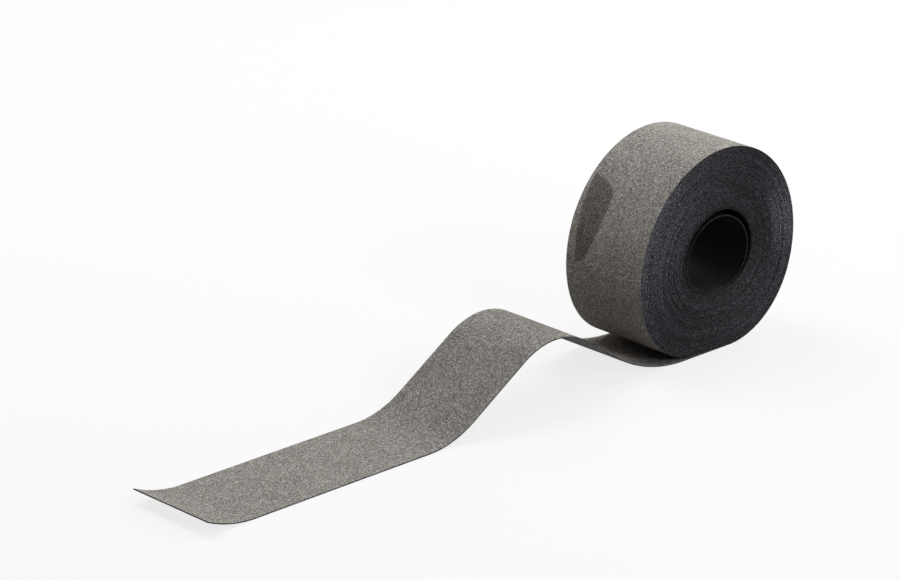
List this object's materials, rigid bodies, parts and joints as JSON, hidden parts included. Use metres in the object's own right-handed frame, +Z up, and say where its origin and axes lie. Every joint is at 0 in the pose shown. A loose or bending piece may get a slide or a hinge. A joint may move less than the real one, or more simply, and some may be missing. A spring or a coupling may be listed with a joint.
{
  "type": "roll of damp proof course",
  "caption": "Roll of sanded bitumen damp proof course lying on its side, its turns showing on the ends, its outer end pulled out over a hump and along the floor.",
  "frame": {"origin": "on the floor, straight below the roll's axis and at the middle of the strip's width", "axes": "+Z up, +Y along the roll's axis, and the pulled end runs out towards -X"},
  "size_m": [0.796, 0.1, 0.212],
  "materials": {
    "sanded_felt": "matt grey mineral sand bedded in black bitumen, with bare black bitumen on the cut edges"
  },
  "bodies": {
    "root": {"dpc_strip": "sanded_felt"}
  },
  "joints": []
}
